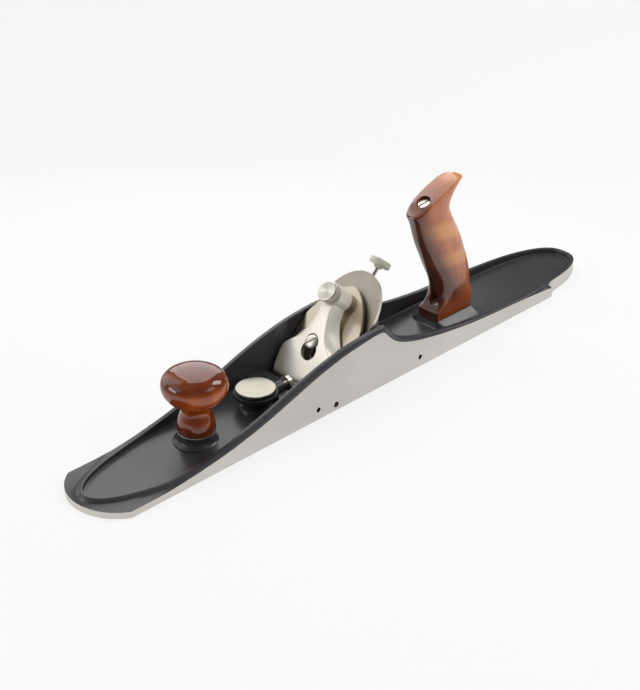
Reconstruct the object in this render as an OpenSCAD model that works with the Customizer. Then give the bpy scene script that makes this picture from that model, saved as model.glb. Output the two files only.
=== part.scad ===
// Bevel-down iron jointer plane with an adjustable toe.
// X points to the toe, Y to the left side, Z up; the sole lies on z = 0, centred on the origin.

/* [Body] */
// Length of the sole
sole_length = 559; // [520:1:600]
// Width of the sole
sole_width = 73; // [72:0.5:80]
// Thickness of the sole and of the front tray floor
sole_thickness = 5.2; // [4.5:0.1:5.6]
// Height of the rear tray floor
rear_floor = 6; // [5.6:0.1:7]
// Height of the crest of the cheeks
crest_height = 52.4; // [46:0.2:58]
// Radius of the tapped fence holes
fence_hole_radius = 2.1; // [1.6:0.1:2.5]
// Distance between the fence holes
fence_hole_spacing = 116.4; // [112:0.2:120]

/* [Blade and frog] */
// Angle of the bed above the sole
bed_angle = 45; // [43:0.5:47]
// Width of the blade
blade_width = 60.3; // [56:0.1:60.3]
// Thickness of the blade
blade_thickness = 3.2; // [2.6:0.1:3.6]
// Room between the blade and each cheek
blade_side_room = 0.85; // [0.6:0.05:1.5]
// Length of the blade
blade_length = 115.3; // [112:0.1:118]
// Half width of the frog
frog_half_width = 28; // [26:0.5:28]
// Radius of the frog bolts
frog_bolt_radius = 3; // [2.5:0.1:3]

/* [Toe] */
// Gap between blade edge and toe plate
mouth_gap = 1.2; // [0.6:0.1:3]
// Travel of the toe plate
toe_travel = 4; // [2:0.5:4.5]
// Radius of the toe lock knob
lock_knob_radius = 16; // [14:0.5:17]

/* [Handles] */
// Radius of the front knob's head
knob_radius = 25.7; // [24:0.1:28]
// Distance of the front knob from the middle of the sole
knob_x = 164; // [160:0.5:170]
// Half width of the rear handle's shaft
handle_half_width = 12; // [11:0.5:13]

/* [Adjuster] */
// Radius of the adjuster spindle
spindle_radius = 1.85; // [1.6:0.05:2]
// Radius of the adjuster knob
adjuster_knob_radius = 9; // [8:0.5:11]
// Radius of the adjuster's pivot
pivot_radius = 6; // [5:0.1:6.4]

/* [Clearances] */
// Radial room round a part that turns or slides in a hole
running_clearance = 0.05; // [0.02:0.01:0.1]
// Radial room round a screw in its own thread or seat
thread_clearance = 0.02; // [0.01:0.01:0.04]
// Side room of the toe plate in the sole
plate_clearance = 0.2; // [0.1:0.05:0.4]

/* [Hidden] */
$fn = 64;

half = sole_width / 2;
tip = sole_length / 2;
tray = blade_width / 2 + blade_side_room;
rim_inner = tray + 0.9;
rim_outer = half - 2.7;
floor_fillet = 1.3;
edge_x = 59.5;

// Toe lip, an ellipse that meets the straight cheek
lip_tip = tip - 8;
lip_run = 97.6;
join_front = lip_tip - lip_run;
toe_bow = 21;
corner_x = tip - toe_bow;
lip_top = 8.7;
flange_reach = 8.5;

// Heel rim, a superellipse that meets the straight cheek
heel_run = 115;
heel_rim = -tip + 1.7;
join_rear = heel_rim + heel_run;
heel_power = 2.6;
nose_run = 60;
nose_half = 30.3;
nose_power = 2.05;
nose_angle = 78;
rim_nose_angle = 57.5;
tongue_x = -tip + 63.5;

toe_rear = edge_x + mouth_gap;
toe_front = toe_rear + 79.3;
opening_rear = 44.2;
opening_front = toe_front + toe_travel + 2;
opening_half = 30.3 + plate_clearance;
bridge_rear = 66;
bridge_top = 10;
post_x = 102.8;
post_radius = 6;
post_thread_radius = 4;
post_top = 20;
lock_neck_radius = 11;
washer_top = bridge_top + 1.2;
lock_flange_radius = lock_knob_radius + 1.4;
lock_flange_bottom = 20.4;
lock_flange_top = 24.4;
lock_head_top = 27.6;
stop_z = 17.2;
stop_radius = 2.5;
stop_disc_radius = 6.4;
stop_tip_x = post_x - lock_neck_radius - 0.3;
lug_rear = 76;
lug_front = post_x - lock_flange_radius - 0.9;

seat_top = 8;
seat_rear = -24;
seat_front = 44;
bolt_y = 16.5;
foot_top = 14;

knob_boss_top = 16.2;
knob_foot = 17;
ring_radius = 14.8;
stud_radius = 4;
insert_radius = 5.6;

handle_base = 12;
rod_top = [-85.6, 123.2];
rod_foot = [-130, 12];
rod_radius = 3.175;
rod_room = 0.22;
nut_depth = 3.2;
nut_length = 12;
nut_radius = 5.55;
nut_recess_radius = 6.2;
nut_slot_turn = -18;
toe_screw_foot = [-110.2, 12];
toe_screw_tilt = 30;
toe_screw_radius = 2.4;
toe_screw_seat = 11.3;
toe_head_radius = 4.1;

fence_front_x = 70.9;
fence_z = 8.6;
set_screw_x = 51.4;
set_screw_z = 5.2;
set_screw_radius = 2.5;
set_screw_tip = blade_width / 2 + 0.3;

bevel_run = blade_thickness / tan(25);
frog_face = -blade_thickness;
plate_back = frog_face - 9;
spindle_h = frog_face - 4.3;
pin_s = 72;
pin_radius = 3;
pivot_s = 89;
channel_half = 7;
channel_low = 50;
channel_high = 80;
channel_floor = spindle_h - 4.5;
collar_radius = 3.4;
slot_half = 4;
frog_end = 98;
knob_s = blade_length + 9.7;
spindle_start = 69;

cap_under = 3;
cap_upper = 6.2;
cap_screw_s = 60;
lever_screw_s = 43.2;
keyhole_s = 35.9;
keyhole_radius = 7.7;
lever_screw_radius = 3;
lever_screw_turn = -37;
lever_slot_half = lever_screw_radius + 0.4;
spot_h = 17.1;
clamp_s = 83;
clamp_radius = 4;
barrel_radius = 9.5;
barrel_top = 26;
barrel_low = 10.8;
pad_top = 9.3;
pad_pocket = 7.4;
clamp_tip_radius = 2.4;

// Height tables along the body: [x, z]
ridge_points = [[-tip, 10], [-256, 10.5], [-230, 11.6], [-204, 12.4], [-176, 13.3], [-149, 14.6],
    [-123, 15.9], [-100, 18.2], [-85, 20.2], [-73, 22.2], [-60.7, 24.6], [-48, 27.2],
    [-36.6, 30.6], [-30, 33], [-24.7, 35.4], [-18.8, 38.8], [-13.2, 43.6], [-10.2, 47],
    [-8, crest_height - 2.7], [-6.2, crest_height - 0.9], [-4.2, crest_height - 0.15],
    [-2, crest_height], [10, crest_height - 0.1], [21, crest_height - 0.8],
    [38, crest_height - 2.5], [54.5, 47], [70.8, 43.2], [87, 38.6], [104, 33], [119, 28.2],
    [134, 24], [150, 19.8], [168, 15.4], [180, 12.9], [194, 10.8], [213, 9.2], [230, 8.8],
    [245, lip_top]];
side_points = [[-205, 9.6], [-185, 11.2], [-171, 12], [-145, 13], [-119, 14.3], [-100, 16],
    [-81, 18.3], [-69, 19.9], [-57, 22], [-45, 24.3], [-33, 27.4], [-21, 31.9], [-15, 35.4],
    [-9.2, 40.4], [-4.6, crest_height - 6.7], [-1.4, crest_height - 4.4],
    [3, crest_height - 3.9], [13.7, crest_height - 4.7], [25, crest_height - 6], [41.6, 44],
    [58, 40.4], [74.4, 36.2], [90.5, 31.2], [106.5, 26.2], [122, 21.6], [138, 17.4],
    [153, 14.1], [168, 11.4], [183, 9.2], [198, 7.5], [213, 6.2], [227, 5.4],
    [241, sole_thickness]];

// Smooth curve through a table, without overshoot
function span(t, x, i = 0) = (i >= len(t) - 2 || x < t[i + 1][0]) ? i : span(t, x, i + 1);
function rise(t, i) = (t[i + 1][1] - t[i][1]) / (t[i + 1][0] - t[i][0]);
function lean(t, i) = (i == 0 || i == len(t) - 1) ? 0
    : rise(t, i - 1) * rise(t, i) <= 0 ? 0
    : 2 * rise(t, i - 1) * rise(t, i) / (rise(t, i - 1) + rise(t, i));
function blend3(a, b, ta, tb, u) = a * (2 * pow(u, 3) - 3 * u * u + 1)
    + ta * (pow(u, 3) - 2 * u * u + u) + b * (3 * u * u - 2 * pow(u, 3))
    + tb * (pow(u, 3) - u * u);
function curve(t, x) = x <= t[0][0] ? t[0][1]
    : x >= t[len(t) - 1][0] ? t[len(t) - 1][1]
    : let (i = span(t, x), h = t[i + 1][0] - t[i][0], u = (x - t[i][0]) / h)
      blend3(t[i][1], t[i + 1][1], h * lean(t, i), h * lean(t, i + 1), u);
function column(t, k) = [for (p = t) [p[0], p[k]]];
function step(a, b, x) = let (u = max(0, min(1, (x - a) / (b - a)))) u * u * (3 - 2 * u);
function mix(a, b, w) = a + (b - a) * w;

function ridge(x) = curve(ridge_points, x);
function side(x) = curve(side_points, x);
// The front tray floor falls from the bridge to the toe
front_floor = [[120, bridge_top], [160, 8.3], [196, 6.5], [222, sole_thickness]];
function floor_z(x) = x < bridge_rear + 1 ? mix(rear_floor, sole_thickness, step(-15, -5, x))
    : curve(front_floor, x);

// Stations round half of the body, from the toe tip to the heel tip
toe_count = 18;
heel_count = 20;
toe_turns = [for (i = [0:toe_count]) let (a = 90 * i / toe_count)
    i == toe_count ? 90 : 0.5 * a + 0.5 * atan(rim_inner / lip_run * tan(a))];
corner_index = 10;
middle = [168, 160, 150, 140, 130, 120, 110, 100, 90, 80, 71, 66, 61, 52, 43, 34, 25, 17, 9, 2, -2,
    -4.2, -6.2, -8, -10.2, -13.2, -16, -18.8, -21.7, -24.7, -28, -32, -36.6, -42, -48, -54, -60.7,
    -67, -75, -85, -97, -110, -123, -136, -149];
jog_index = 5;
// Sole outline at the heel: straight, a jog, then the nose
jog = [[tongue_x + 2, half], [tongue_x, half - 0.4], [tongue_x - 1.4, half - 2],
    [tongue_x - 3.4, half - 4], [tongue_x - 8, half - 5.6]];
jog_heights = [8.8, 7.4, 5.4, 3.8, 3];
nose_start = jog_index + len(jog);
function rim_turn(x) = acos(pow((join_rear - x) / heel_run, heel_power / 2));
heel_turns = [for (i = [0:heel_count]) i < jog_index ? 90 - 4.5 * i
    : i < nose_start ? rim_turn(jog[i - jog_index][0])
    : rim_nose_angle * (heel_count - i) / (heel_count - nose_start)];

function toe_outer(i) = let (a = toe_turns[i], r = (toe_bow * toe_bow + half * half) / (2 * toe_bow))
    i <= corner_index
    ? let (w = asin(half / r) * i / corner_index) [tip - r + r * cos(w), r * sin(w)]
    : [join_front + (corner_x - join_front) * cos(a) / cos(toe_turns[corner_index]), half];
function toe_inner(i, inset, out) = [join_front + (lip_run - inset) * cos(toe_turns[i]),
    out * sin(toe_turns[i])];
// Outer loops 0 to 4 climb from the side's top edge to the rim: share of the way out, share of the height
mid_inset = [0, 0.36, 0.95, 1.7, 2.7];
mid_rate = [0, 0.5, 0.77, 0.93, 1];
flank_reach = [0, 7, 4.4, 2.7, 1.2];
flank_rate = [0, 0.04, 0.24, 0.78, 1];
function toe_point(i, k) = let (a = toe_turns[i], o = toe_outer(i), n = toe_inner(i, 0, rim_inner),
    d = norm(o - n), b = step(45, 88, a),
    toe_w = k == 0 ? 1 : flank_reach[k] / max(d, flange_reach),
    mid_w = (half - mid_inset[k] - rim_inner) / (half - rim_inner),
    p = n + (o - n) * mix(toe_w, mid_w, b),
    low = side(p[0]), high = ridge(p[0]))
    [p[0], p[1], low + (high - low) * mix(flank_rate[k], mid_rate[k], b)];

function heel_rim_point(i, inset, out) = let (a = heel_turns[i])
    [join_rear - (heel_run - inset) * pow(cos(a), 2 / heel_power),
     i == heel_count ? 0 : out * pow(max(0, sin(a)), 2 / heel_power)];
function heel_sole(i) = i < jog_index ? [heel_rim_point(i, 0, half)[0], half]
    : i < nose_start ? jog[i - jog_index]
    : let (a = nose_angle * (heel_count - i) / (heel_count - nose_start),
        c = pow(cos(a), 2 / nose_power), s = pow(max(0, sin(a)), 2 / nose_power))
      [-tip + nose_run - nose_run * c, i == heel_count ? 0 : nose_half * s];
function heel_low(i) = i < jog_index ? side(heel_sole(i)[0])
    : i < nose_start ? jog_heights[i - jog_index] : jog_heights[len(jog) - 1];
// Behind the jog the rim's wall stands on a narrow ledge, and round the nose it runs down to the sole
wall_reach = [0, 1.9, 1.1, 0.4, 0];
wall_rate = [0, 0.3, 0.72, 0.95, 1];
nose_share = [1, 0.5, 0.2, 0.06, 0];
nose_rate = [0, 0.5, 0.84, 0.97, 1];
function heel_point(i, k) = let (p = heel_sole(i), r = heel_rim_point(i, 0, rim_outer),
    d = norm(p - r), low = heel_low(i), high = ridge(r[0]),
    b = step(0, jog_index - 1, i), n = step(jog_index, nose_start, i),
    mid_w = 1 - mid_inset[k] / (half - rim_outer),
    wall_w = k == 0 ? 1 : min(1, wall_reach[k] / d),
    w = mix(mix(mid_w, wall_w, b), nose_share[k], n),
    rate = mix(mix(mid_rate[k], wall_rate[k], b), nose_rate[k], n),
    q = r + (p - r) * w)
    [q[0], q[1], mix(low, high, rate)];
function middle_point(x, k) = let (low = side(x), high = ridge(x))
    [x, half - mid_inset[k], low + (high - low) * mid_rate[k]];

// Inner loops: rounded rim edge, wall and floor fillet, as [inset at the toe and heel, half width, drop
// below the rim or rise above the floor]
inner_toe = [0, 0.5, 0.9, 0.9, 1.4, 2.5];
inner_heel = [2.6, 3.2, 3.6, 3.6, 4.1, 5.2];
inner_half = [rim_inner, tray + 0.26, tray, tray, tray - 0.3 * floor_fillet, tray - floor_fillet];
inner_drop = [0, 0.26, 0.9];
inner_rise = [floor_fillet, 0.3 * floor_fillet, 0];
function inner_z(x, j) = j < 3 ? ridge(x) - inner_drop[j] : floor_z(x) + inner_rise[j - 3];

function half_loop(k) = k == 0
    ? concat([for (i = [0:toe_count]) let (p = toe_outer(i)) [p[0], p[1], 0]],
        [for (x = middle) [x, half, 0]],
        [for (i = [0:heel_count]) let (p = heel_sole(i)) [p[0], p[1], 0]])
    : k <= 5
    ? concat([for (i = [0:toe_count]) toe_point(i, k - 1)],
        [for (x = middle) middle_point(x, k - 1)],
        [for (i = [0:heel_count]) heel_point(i, k - 1)])
    : let (j = k - 6)
      concat([for (i = [0:toe_count]) let (p = toe_inner(i, inner_toe[j], inner_half[j]))
            [p[0], p[1], inner_z(p[0], j)]],
        [for (x = middle) [x, inner_half[j], inner_z(x, j)]],
        [for (i = [0:heel_count]) let (p = heel_rim_point(i, inner_heel[j], inner_half[j]))
            [p[0], p[1], inner_z(p[0], j)]]);
loop_count = 12;
function mirrored(h) = concat(h, [for (i = [len(h) - 2:-1:1]) [h[i][0], -h[i][1], h[i][2]]]);

// Closed loops stacked from the sole, over the rim and down to the floor
module ring_loft(loops, n) {
    full = 2 * (n - 1);
    points = [for (l = loops) for (p = l) p];
    top = (len(loops) - 1) * full;
    walls = [for (k = [0:len(loops) - 2]) for (i = [0:full - 1])
        let (a = k * full + i, b = k * full + (i + 1) % full, c = a + full, d = b + full)
        each [[a, c, d], [a, d, b]]];
    caps = [for (i = [1:n - 3]) each [
        [i, i + 1, full - i - 1], [i, full - i - 1, full - i],
        [top + full - i, top + full - i - 1, top + i + 1], [top + full - i, top + i + 1, top + i]]];
    ends = [[0, 1, full - 1], [n - 2, n - 1, n],
        [top + full - 1, top + 1, top], [top + n, top + n - 1, top + n - 2]];
    polyhedron(points = points, faces = concat(walls, caps, ends), convexity = 6);
}

// Rings of equal size joined in a row, closed by a fan at each end
module tube_loft(rings) {
    m = len(rings[0]);
    count = len(rings);
    centre = function (r) [for (k = [0:2]) (max([for (p = r) p[k]]) + min([for (p = r) p[k]])) / 2];
    points = concat([for (r = rings) for (p = r) p], [centre(rings[0]), centre(rings[count - 1])]);
    walls = [for (j = [0:count - 2]) for (i = [0:m - 1])
        let (a = j * m + i, b = j * m + (i + 1) % m, c = a + m, d = b + m)
        each [[a, c, d], [a, d, b]]];
    low = [for (i = [0:m - 1]) [count * m, i, (i + 1) % m]];
    high = [for (i = [0:m - 1]) [count * m + 1, (count - 1) * m + (i + 1) % m, (count - 1) * m + i]];
    polyhedron(points = points, faces = concat(walls, low, high), convexity = 6);
}

module bar(x0, x1, y, z0, z1) {
    translate([x0, -y, z0]) cube([x1 - x0, 2 * y, z1 - z0]);
}

// Bed frame: X up the bed from the edge, Z away from the bed
module on_bed() {
    translate([edge_x, 0, 0]) rotate([0, bed_angle, 0]) rotate([0, 0, 180]) children();
}

// A profile in the X-Z plane, drawn out along Y
module profile(half_width) {
    rotate([90, 0, 0]) translate([0, 0, -half_width]) linear_extrude(2 * half_width) children();
}

module slot2d(x0, x1, r) {
    translate([x0, -r]) square([x1 - x0, 2 * r]);
    translate([x0, 0]) circle(r);
    translate([x1, 0]) circle(r);
}

// Body casting

module body_shell() {
    n = toe_count + 1 + len(middle) + heel_count + 1;
    ring_loft([for (k = [0:loop_count - 1]) mirrored(half_loop(k))], n);
}

// Mound under the handle: [reach past the handle's foot, height]
pad_steps = [[3.2, rear_floor - 0.5], [2.7, rear_floor + 0.3], [1.8, rear_floor + 1.1],
    [1.2, rear_floor + 2.6], [0.8, handle_base - 1], [0.4, handle_base]];
pad_corner = 1.2;
function pad_ring(out, z) = [for (i = [0:35]) let (a = i * 10 + 5, r = pad_corner + out)
    [(a < 90 || a > 270 ? foot_front - pad_corner - out * 0.4
        : foot_rear + pad_corner - out * 0.7) + r * cos(a),
     (a < 180 ? 1 : -1) * (foot_half - pad_corner) + r * sin(a), z]];

module handle_mound() {
    tube_loft([for (s = pad_steps) pad_ring(s[0], s[1])]);
}

module bridge() {
    bar(bridge_rear, bridge_rear + 6, tray + 0.5, sole_thickness, bridge_top);
    difference() {
        bar(bridge_rear, 90, tray + 0.5, bridge_top - 1, 16);
        translate([post_x, 0, bridge_top]) cylinder(h = 20, r = lock_flange_radius + 0.6);
        translate([bridge_rear - 1, -8, bridge_top]) cube([lug_rear - bridge_rear + 1, 16, 20]);
    }
    bar(lug_rear, lug_front, 5.6, bridge_top - 1, stop_z);
    translate([lug_rear, 0, stop_z]) rotate([0, 90, 0]) cylinder(h = lug_front - lug_rear, r = 5.6);
}

knob_boss = [[0, 4], [18.6, 4], [18.6, 8], [17, 8.5], [15.6, 9.4], [14.7, 10.8], [14.3, 12.6],
    [14.2, knob_boss_top], [0, knob_boss_top]];

module plane_body() {
    color([0.13, 0.13, 0.14])
    difference() {
        union() {
            body_shell();
            bar(seat_rear, seat_front, 29, sole_thickness - 1, seat_top);
            bridge();
            translate([knob_x, 0, 0]) rotate_extrude() polygon(knob_boss);
            handle_mound();
        }
        // Mouth and toe opening in the sole
        bar(opening_rear, opening_front, opening_half, -1, sole_thickness);
        bar(opening_rear, bridge_rear, opening_half, -1, seat_top + 1);
        translate([0, 0, -1]) linear_extrude(bridge_top + 2)
            slot2d(post_x, post_x + toe_travel, post_radius + 0.15);
        translate([lug_rear - 1, 0, stop_z]) rotate([0, 90, 0])
            cylinder(h = lug_front - lug_rear + 2, r = stop_radius + running_clearance);
        // Tapped holes
        for (y = [-bolt_y, bolt_y])
            translate([0, y, 1.6]) cylinder(h = seat_top, r = frog_bolt_radius + thread_clearance);
        translate([knob_x, 0, 1.6]) cylinder(h = knob_boss_top, r = stud_radius + thread_clearance);
        rod_hole(rod_radius + thread_clearance, 2);
        intersection() {
            along_toe_screw() translate([0, 0, -20]) cylinder(h = 40, r = toe_screw_radius + thread_clearance);
            translate([-200, -50, 2.2]) cube([200, 100, 40]);
        }
        translate([fence_front_x, half - 9, fence_z]) rotate([-90, 0, 0])
            cylinder(h = 12, r = fence_hole_radius);
        translate([fence_front_x - fence_hole_spacing, tray - 1, fence_z]) rotate([-90, 0, 0])
            cylinder(h = 12, r = fence_hole_radius);
        translate([set_screw_x, 0, set_screw_z]) rotate([90, 0, 0])
            cylinder(h = 100, r = set_screw_radius + running_clearance, center = true);
    }
}

// Toe

module toe_plate() {
    color([0.70, 0.68, 0.66])
    union() {
        difference() {
            bar(toe_rear, toe_front, opening_half - plate_clearance, 0, sole_thickness);
            translate([toe_rear, 0, sole_thickness]) rotate([0, 40, 0]) cube([6, 80, 6], center = true);
        }
        translate([post_x, 0, sole_thickness - 1]) cylinder(h = bridge_top - sole_thickness + 0.9, r = post_radius);
        translate([post_x, 0, sole_thickness]) cylinder(h = post_top - sole_thickness, r = post_thread_radius);
    }
}

module toe_lock_washer() {
    color([0.75, 0.74, 0.72])
    translate([post_x, 0, bridge_top])
        difference() {
            cylinder(h = washer_top - bridge_top, r = 13);
            translate([0, 0, -1]) cylinder(h = 4, r = post_thread_radius + thread_clearance);
        }
}

module toe_lock_knob() {
    color([0.86, 0.83, 0.77])
    translate([post_x, 0, 0])
        difference() {
            rotate_extrude() polygon([[0, washer_top], [lock_neck_radius, washer_top],
                [lock_neck_radius, lock_flange_bottom], [lock_flange_radius - 0.6, lock_flange_bottom],
                [lock_flange_radius, lock_flange_bottom + 0.6], [lock_flange_radius, lock_flange_top - 0.5],
                [lock_flange_radius - 0.5, lock_flange_top], [lock_knob_radius - 1.2, lock_flange_top],
                [lock_knob_radius - 1.2, lock_flange_top + 0.7], [lock_knob_radius - 0.4, lock_flange_top + 0.7],
                [lock_knob_radius, lock_flange_top + 1.1], [lock_knob_radius, lock_head_top - 0.7],
                [lock_knob_radius - 0.25, lock_head_top - 0.25], [lock_knob_radius - 0.8, lock_head_top],
                [0, lock_head_top]]);
            translate([0, 0, washer_top - 1])
                cylinder(h = post_top + 0.2 - washer_top + 1, r = post_thread_radius + running_clearance);
        }
}

module toe_stop_screw() {
    color([0.72, 0.70, 0.66])
    difference() {
        union() {
            translate([lug_rear - 6, 0, stop_z]) rotate([0, 90, 0])
                cylinder(h = stop_tip_x - lug_rear + 6, r = stop_radius);
            translate([68, 0, stop_z]) rotate([0, 90, 0]) cylinder(h = 3.4, r = stop_disc_radius);
        }
        translate([67.5, -10, stop_z - 0.6]) cube([1.7, 20, 1.2]);
    }
}

// Front knob

knob_profile = [[0, knob_foot], [14.2, knob_foot], [14.9, 17.6], [15, 19.4], [14.8, 22], [14.3, 25],
    [13.5, 28], [12.5, 30.8], [11.7, 33.2], [11.4, 35.2], [11.7, 37], [12.8, 38.8], [14.6, 40.3],
    [17.4, 42.3], [20.4, 44.8], [22.7, 47.4], [24.4, 50.2], [25.4, 53], [knob_radius, 55.6],
    [25.4, 58.4], [24.5, 60.8], [22.8, 63], [20.4, 64.9], [17.4, 66.3], [13.8, 67.4], [9.5, 68.1],
    [5, 68.5], [0, 68.6]];
function knob_r(i) = knob_profile[i][0] > 16 && knob_profile[i][0] != knob_radius
    ? knob_profile[i][0] * knob_radius / 25.7 : knob_profile[i][0];

module front_knob() {
    color([0.42, 0.18, 0.09])
    translate([knob_x, 0, 0])
        difference() {
            rotate_extrude($fn = 96) polygon([for (i = [0:len(knob_profile) - 1]) [knob_r(i), knob_profile[i][1]]]);
            translate([0, 0, knob_foot - 1]) cylinder(h = 26, r = insert_radius + thread_clearance);
        }
}

module knob_ring() {
    color([0.85, 0.82, 0.76])
    translate([knob_x, 0, knob_boss_top])
        difference() {
            cylinder(h = knob_foot - knob_boss_top, r = ring_radius);
            translate([0, 0, -1]) cylinder(h = 4, r = insert_radius + 0.4);
        }
}

module knob_insert() {
    color([0.75, 0.62, 0.30])
    translate([knob_x, 0, knob_foot])
        difference() {
            cylinder(h = 20, r = insert_radius);
            translate([0, 0, -1]) cylinder(h = 19, r = stud_radius + thread_clearance);
        }
}

module knob_stud() {
    color([0.60, 0.60, 0.60])
    translate([knob_x, 0, 2]) cylinder(h = 30, r = stud_radius);
}

// Rear handle: [station, front x, front z, rear x, rear z, half width, narrowing to the rear,
// corner power, share of the top's swell]
handle_table = [[0, -94.3, 12, -138, 12, 10.9, 0.02, 0.1, 0], [1, -94.3, 19, -139, 20, 11, 0.02, 0.1, 0],
    [2, -98, 22, -139.8, 27, 11.1, 0.04, 0.28, 0], [3, -101, 27.5, -140, 34, 11.4, 0.08, 0.5, 0],
    [4, -102, 35, -140, 43, 11.8, 0.12, 0.66, 0], [5, -99.5, 45, -138, 55, 12, 0.14, 0.74, 0],
    [6, -93, 58, -133, 70, 12, 0.14, 0.78, 0], [7, -86, 73, -127.5, 84, 12, 0.14, 0.78, 0],
    [8, -79.5, 88, -120.5, 97, 11.7, 0.14, 0.8, 0], [9, -75.5, 101, -115.5, 106.5, 11.3, 0.12, 0.8, 0.1],
    [10, -73.6, 106.2, -113.6, 113, 11, 0.1, 0.75, 0.3], [11, -72, 109.6, -116, 121, 11, 0.08, 0.7, 0.65],
    [12, -70.9, 112.1, -128, 132.2, 11, 0.08, 0.66, 1], [13, -71.9, 113.6, -128.8, 133.3, 10.4, 0.08, 0.66, 1]];
foot_front = handle_table[0][1];
foot_rear = handle_table[0][3];
foot_half = handle_table[0][5];
handle_top = handle_table[len(handle_table) - 1];
// Centre line of the top face
top_line = [[-130, 133.2], [-120, 134], [-108, 130.8], [-87, 122.3], [-69.5, 113.6]];
top_crown = 1.1;
rear_power = 0.62;
handle_stations = concat([0, 1], [for (t = [1.5:0.5:12]) t], [12.5, 13]);
handle_sides = 36;
function handle_at(t, k) = curve(column(handle_table, k), t);
function swell(x, front, rear) = let (u = (x - rear) / (front - rear))
    curve(top_line, x) - mix(curve(top_line, rear), curve(top_line, front), u);
// One section: an oval with squared corners, drawn in by a share for the rings of the top face
function handle_section(fx, fz, rx, rz, w, k, p, share, inward = 0) =
    [for (i = [0:handle_sides - 1]) let (a = i * 360 / handle_sides, c = cos(a), s = sin(a),
        q = c < 0 ? mix(p, rear_power, share) : p,
        cc = sign(c) * pow(abs(c), q), ss = sign(s) * pow(abs(s), q),
        u = (1 + cc * (1 - inward)) / 2, x = mix(rx, fx, u))
        [x, w * ss * (1 - inward) * (1 - k * (1 - cc) / 2), mix(rz, fz, u) + share * swell(x, fx, rx)
            + top_crown * (1 - pow(1 - inward, 2))]];
function handle_ring(t) = handle_section(handle_at(t, 1), handle_at(t, 2), handle_at(t, 3),
    handle_at(t, 4), handle_at(t, 5) * handle_half_width / 12, handle_at(t, 6), handle_at(t, 7),
    handle_at(t, 8));
function top_ring(inward) = handle_section(handle_top[1], handle_top[2], handle_top[3], handle_top[4],
    handle_top[5] * handle_half_width / 12, handle_top[6], handle_top[7], 1, inward);
rod_angle = atan((rod_top[0] - rod_foot[0]) / (rod_top[1] - rod_foot[1]));
rod_run = norm(rod_top - rod_foot);

module along_rod() {
    translate([rod_foot[0], 0, rod_foot[1]]) rotate([0, rod_angle, 0]) children();
}

module along_toe_screw() {
    translate([toe_screw_foot[0], 0, toe_screw_foot[1]]) rotate([0, toe_screw_tilt, 0]) children();
}

module rod_hole(r, low) {
    intersection() {
        along_rod() translate([0, 0, -20]) cylinder(h = 40, r = r);
        translate([-200, -50, low]) cube([200, 100, 60]);
    }
}

module rear_handle() {
    color([0.42, 0.18, 0.09])
    difference() {
        tube_loft(concat([for (t = handle_stations) handle_ring(t)],
            [for (inward = [0.12, 0.4, 0.7, 0.92]) top_ring(inward)]));
        along_rod() translate([0, 0, -10]) cylinder(h = rod_run + 30, r = rod_radius + rod_room);
        along_rod() translate([0, 0, rod_run - nut_depth - nut_length])
            cylinder(h = 40, r = nut_radius + rod_room);
        along_rod() translate([0, 0, rod_run - nut_depth - 1.2]) cylinder(h = 40, r = nut_recess_radius);
        along_toe_screw() translate([0, 0, -10]) cylinder(h = 30, r = toe_screw_radius + rod_room);
        along_toe_screw() translate([0, 0, toe_screw_seat]) cylinder(h = 40, r = toe_head_radius + 0.3);
    }
}

module handle_rod() {
    color([0.60, 0.60, 0.60])
    intersection() {
        along_rod() translate([0, 0, -12]) cylinder(h = rod_run - nut_depth - 4.5 + 12, r = rod_radius);
        translate([-200, -50, 2.4]) cube([200, 100, 140]);
    }
}

module handle_nut() {
    color([0.85, 0.80, 0.70])
    along_rod() translate([0, 0, rod_run - nut_depth - nut_length])
        difference() {
            union() {
                cylinder(h = nut_length - 0.6, r = nut_radius);
                translate([0, 0, nut_length - 0.6]) cylinder(h = 0.6, r1 = nut_radius, r2 = nut_radius - 0.6);
            }
            translate([0, 0, -1]) cylinder(h = 9, r = rod_radius + thread_clearance);
            rotate([0, 0, nut_slot_turn]) translate([-7, -0.65, nut_length - 1.6]) cube([14, 1.3, 3]);
        }
}

module handle_toe_screw() {
    color([0.80, 0.76, 0.68])
    difference() {
        union() {
            intersection() {
                along_toe_screw() translate([0, 0, -20])
                    cylinder(h = toe_screw_seat + 20, r = toe_screw_radius);
                translate([-200, -50, 2.6]) cube([200, 100, 40]);
            }
            along_toe_screw() translate([0, 0, toe_screw_seat]) cylinder(h = 2.2, r = toe_head_radius);
            along_toe_screw() translate([0, 0, toe_screw_seat + 2.2])
                cylinder(h = 0.8, r1 = toe_head_radius, r2 = toe_head_radius - 1.1);
        }
        along_toe_screw() translate([-5, -0.5, toe_screw_seat + 1.8]) cube([10, 1, 3]);
    }
}

// Frog

function bed_point(s, h) = [edge_x - s * cos(bed_angle) + h * sin(bed_angle),
    s * sin(bed_angle) + h * cos(bed_angle)];
frog_front = opening_rear + 0.3;
foot_s = (foot_top - plate_back * cos(bed_angle)) / sin(bed_angle);

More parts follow.
